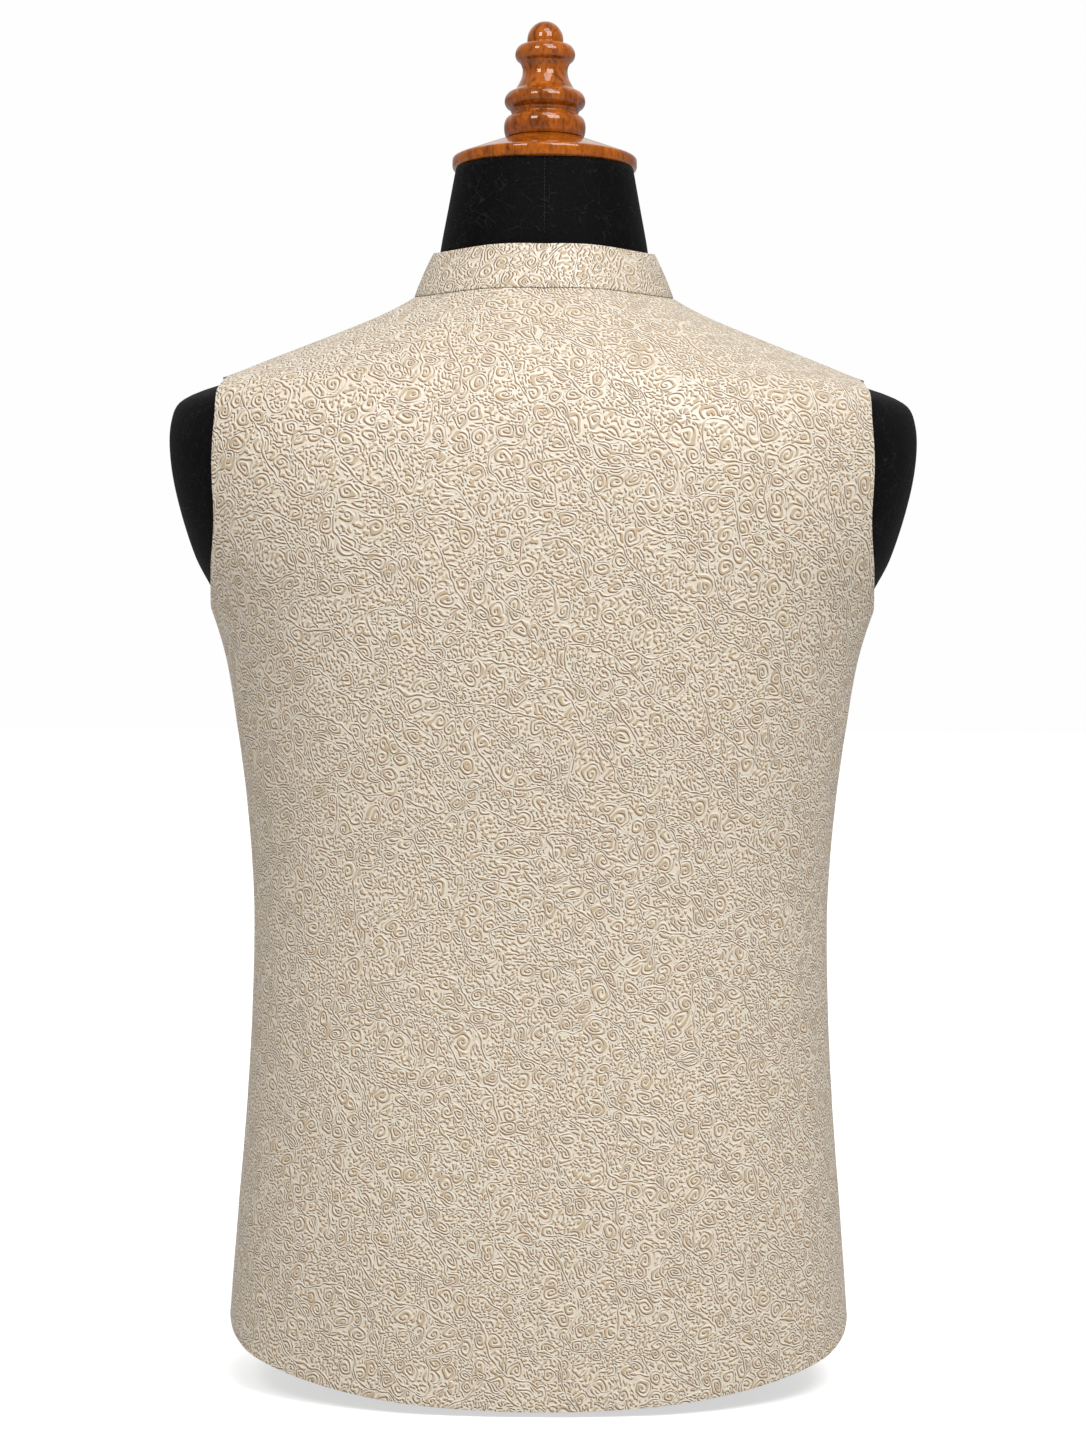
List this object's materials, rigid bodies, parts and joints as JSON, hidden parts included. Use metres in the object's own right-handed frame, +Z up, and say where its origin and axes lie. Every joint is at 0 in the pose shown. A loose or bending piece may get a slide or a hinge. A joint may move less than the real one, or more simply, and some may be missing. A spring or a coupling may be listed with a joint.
{
  "type": "waistcoat on a dress form",
  "caption": "Sleeveless buttoned waistcoat with a band collar, in pale brocade, on a limbless black dress form with a turned wooden neck cap and finial.",
  "frame": {"origin": "on the floor, under the middle of the dress form", "axes": "+Z up, -Y towards the back of the waistcoat, +Y towards its buttoned front, +X towards the wearer's right"},
  "size_m": [0.4662, 0.2605, 0.8456],
  "materials": {
    "brocade": "pale satin ground with raised beige scrolling figures, soft sheen",
    "jersey": "matte black stretched jersey",
    "lacquered_wood": "glossy orange-brown lacquer over figured wood"
  },
  "bodies": {
    "root": {"back_right": "brocade", "back_left": "brocade", "front_right": "brocade", "front_left": "brocade", "collar": "brocade", "button_1": "brocade", "button_2": "brocade", "button_3": "brocade", "button_4": "brocade", "button_5": "brocade", "dress_form": "jersey", "form_foot": "jersey", "neck_cap": "lacquered_wood", "finial": "lacquered_wood"}
  },
  "joints": []
}
